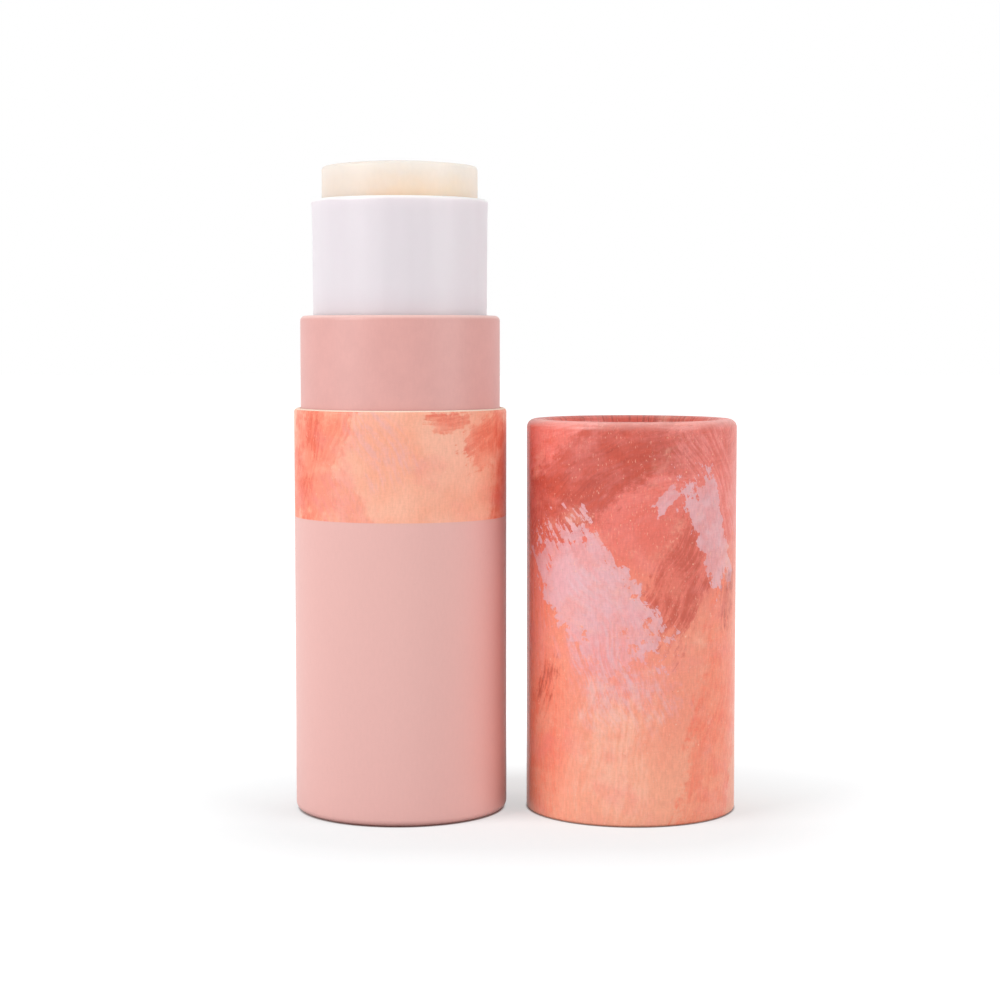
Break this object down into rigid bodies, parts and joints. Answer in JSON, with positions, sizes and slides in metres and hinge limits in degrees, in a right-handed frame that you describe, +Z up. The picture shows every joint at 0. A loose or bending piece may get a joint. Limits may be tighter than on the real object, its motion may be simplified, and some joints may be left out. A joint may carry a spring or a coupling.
{
  "type": "lip balm stick",
  "caption": "Wide twist-up lip balm stick in a curled paper tube, opened, with its slip-on paper cap standing on its mouth beside it.",
  "frame": {"origin": "on the surface that the stick and its cap stand on, midway between the stick's left edge and the cap's right edge", "axes": "+Z up along the stick, +X from the stick towards the cap, +Y away from the viewer"},
  "size_m": [0.0562, 0.027, 0.0821],
  "materials": {
    "cream_board": "matte",
    "base_paper": "satin",
    "neck_paper": "satin",
    "white_plastic": "satin",
    "barrel_plastic": "satin",
    "balm": "satin",
    "cap_paper": "satin",
    "liner_paper": "matte"
  },
  "bodies": {
    "base": {"base_tube": "cream_board", "base_wrap": "base_paper", "base_end_disc": "cream_board", "base_end_paper": "base_paper", "drive_screw": "white_plastic"},
    "barrel": {"neck_tube": "cream_board", "neck_wrap": "neck_paper", "barrel": "barrel_plastic"},
    "elevator": {"elevator": "white_plastic", "balm": "balm"},
    "cap": {"cap_tube": "cream_board", "cap_wrap": "cap_paper", "cap_liner": "liner_paper", "cap_end_disc": "cream_board", "cap_end_paper": "cap_paper"}
  },
  "joints": [
    {"name": "twist", "type": "hinge", "parent": "base", "child": "barrel", "pos_m": [-0.01465, 0, 0], "axis": [0, 0, 1], "range_deg": [-360, 3240]},
    {"name": "balm_lift", "type": "slide", "parent": "barrel", "child": "elevator", "axis": [0, 0, 1], "range_m": [-0.00501, 0.04501]},
    {"name": "cap_lift", "type": "slide", "parent": "base", "child": "cap", "axis": [0, 0, 1], "range_m": [0, 0.05]}
  ],
  "couplings": [
    {"joint": "balm_lift", "follows": "twist", "m_per_rad": 0.00079577}
  ]
}
